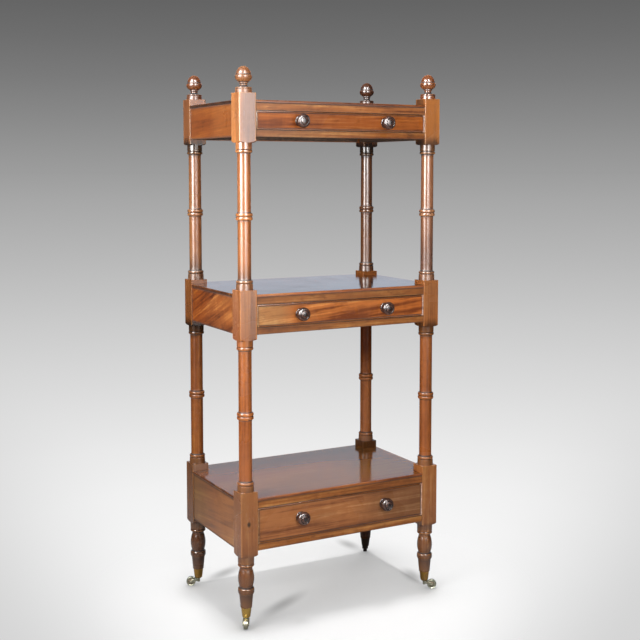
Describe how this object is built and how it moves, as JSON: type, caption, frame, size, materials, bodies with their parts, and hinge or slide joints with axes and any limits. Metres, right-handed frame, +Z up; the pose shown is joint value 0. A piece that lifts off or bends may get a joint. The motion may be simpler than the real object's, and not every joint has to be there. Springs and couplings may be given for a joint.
{
  "type": "etagere",
  "caption": "Tall open etagere: square-blocked, ring-turned posts carry shelf tiers, each over a shallow cock-beaded drawer, with acorn finials above and turned feet on brass cup castors below.",
  "frame": {"origin": "bottom centre of the bounding box: on the floor under the middle of the case, with the knobs and the trailing castors counted", "axes": "+Z up along the posts, -Y towards the drawer fronts and knobs, +X to the right as seen from the front"},
  "size_m": [0.5878, 0.3876, 1.3704],
  "materials": {
    "mahogany": "old french polish over red-brown figured mahogany, glossy with wear",
    "drawer_lining": "plain unpolished lining wood",
    "knob_wood": "turned and blackened wood, high gloss",
    "castor_cup_brass": "aged satin brass",
    "castor_wheel_brass": "dull tarnished brass, worn brighter on the rim"
  },
  "bodies": {
    "case": {"lower_post_front_left": "mahogany", "middle_post_front_left": "mahogany", "upper_post_front_left": "mahogany", "finial_front_left": "mahogany", "castor_cup_front_left": "castor_cup_brass", "lower_post_front_right": "mahogany", "middle_post_front_right": "mahogany", "upper_post_front_right": "mahogany", "finial_front_right": "mahogany", "castor_cup_front_right": "castor_cup_brass", "lower_post_back_right": "mahogany", "middle_post_back_right": "mahogany", "upper_post_back_right": "mahogany", "finial_back_right": "mahogany", "castor_cup_back_right": "castor_cup_brass", "lower_post_back_left": "mahogany", "middle_post_back_left": "mahogany", "upper_post_back_left": "mahogany", "finial_back_left": "mahogany", "castor_cup_back_left": "castor_cup_brass", "lower_board": "mahogany", "lower_front_rail_top": "mahogany", "lower_front_rail_bottom": "mahogany", "lower_back_panel": "mahogany", "lower_side_left": "mahogany", "lower_side_right": "mahogany", "middle_board": "mahogany", "middle_front_rail_top": "mahogany", "middle_front_rail_bottom": "mahogany", "middle_back_panel": "mahogany", "middle_side_left": "mahogany", "middle_side_right": "mahogany", "upper_board": "mahogany", "upper_front_rail_top": "mahogany", "upper_front_rail_bottom": "mahogany", "upper_back_panel": "mahogany", "upper_side_left": "mahogany", "upper_side_right": "mahogany"},
    "lower_drawer": {"lower_drawer_front": "mahogany", "lower_drawer_box": "drawer_lining", "lower_drawer_knob_left": "knob_wood", "lower_drawer_knob_right": "knob_wood"},
    "middle_drawer": {"middle_drawer_front": "mahogany", "middle_drawer_box": "drawer_lining", "middle_drawer_knob_left": "knob_wood", "middle_drawer_knob_right": "knob_wood"},
    "upper_drawer": {"upper_drawer_front": "mahogany", "upper_drawer_box": "drawer_lining", "upper_drawer_knob_left": "knob_wood", "upper_drawer_knob_right": "knob_wood"},
    "castor_fork_front_left": {"castor_horn_front_left": "castor_wheel_brass"},
    "castor_fork_front_right": {"castor_horn_front_right": "castor_wheel_brass"},
    "castor_fork_back_right": {"castor_horn_back_right": "castor_wheel_brass"},
    "castor_fork_back_left": {"castor_horn_back_left": "castor_wheel_brass"},
    "castor_roller_front_left": {"castor_wheel_front_left": "castor_wheel_brass"},
    "castor_roller_front_right": {"castor_wheel_front_right": "castor_wheel_brass"},
    "castor_roller_back_right": {"castor_wheel_back_right": "castor_wheel_brass"},
    "castor_roller_back_left": {"castor_wheel_back_left": "castor_wheel_brass"}
  },
  "joints": [
    {"name": "lower_drawer_slide", "type": "slide", "parent": "case", "child": "lower_drawer", "axis": [0, -1, 0], "range_m": [0, 0.24]},
    {"name": "middle_drawer_slide", "type": "slide", "parent": "case", "child": "middle_drawer", "axis": [0, -1, 0], "range_m": [0, 0.24]},
    {"name": "upper_drawer_slide", "type": "slide", "parent": "case", "child": "upper_drawer", "axis": [0, -1, 0], "range_m": [0, 0.24]},
    {"name": "castor_swivel_front_left", "type": "hinge", "parent": "case", "child": "castor_fork_front_left", "pos_m": [-0.2635, -0.14565, 0.0125], "axis": [0, 0, 1], "continuous": true},
    {"name": "castor_swivel_front_right", "type": "hinge", "parent": "case", "child": "castor_fork_front_right", "pos_m": [0.2635, -0.14565, 0.0125], "axis": [0, 0, 1], "continuous": true},
    {"name": "castor_swivel_back_right", "type": "hinge", "parent": "case", "child": "castor_fork_back_right", "pos_m": [0.2635, 0.16335, 0.0125], "axis": [0, 0, 1], "continuous": true},
    {"name": "castor_swivel_back_left", "type": "hinge", "parent": "case", "child": "castor_fork_back_left", "pos_m": [-0.2635, 0.16335, 0.0125], "axis": [0, 0, 1], "continuous": true},
    {"name": "castor_roll_front_left", "type": "hinge", "parent": "castor_fork_front_left", "child": "castor_roller_front_left", "pos_m": [-0.27307, -0.16321, 0.0125], "axis": [0.878, -0.4787, 0], "continuous": true},
    {"name": "castor_roll_front_right", "type": "hinge", "parent": "castor_fork_front_right", "child": "castor_roller_front_right", "pos_m": [0.28106, -0.15523, 0.0125], "axis": [0.4787, 0.878, 0], "continuous": true},
    {"name": "castor_roll_back_right", "type": "hinge", "parent": "castor_fork_back_right", "child": "castor_roller_back_right", "pos_m": [0.27307, 0.18091, 0.0125], "axis": [-0.878, 0.4787, 0], "continuous": true},
    {"name": "castor_roll_back_left", "type": "hinge", "parent": "castor_fork_back_left", "child": "castor_roller_back_left", "pos_m": [-0.28106, 0.17292, 0.0125], "axis": [-0.4787, -0.878, 0], "continuous": true}
  ]
}
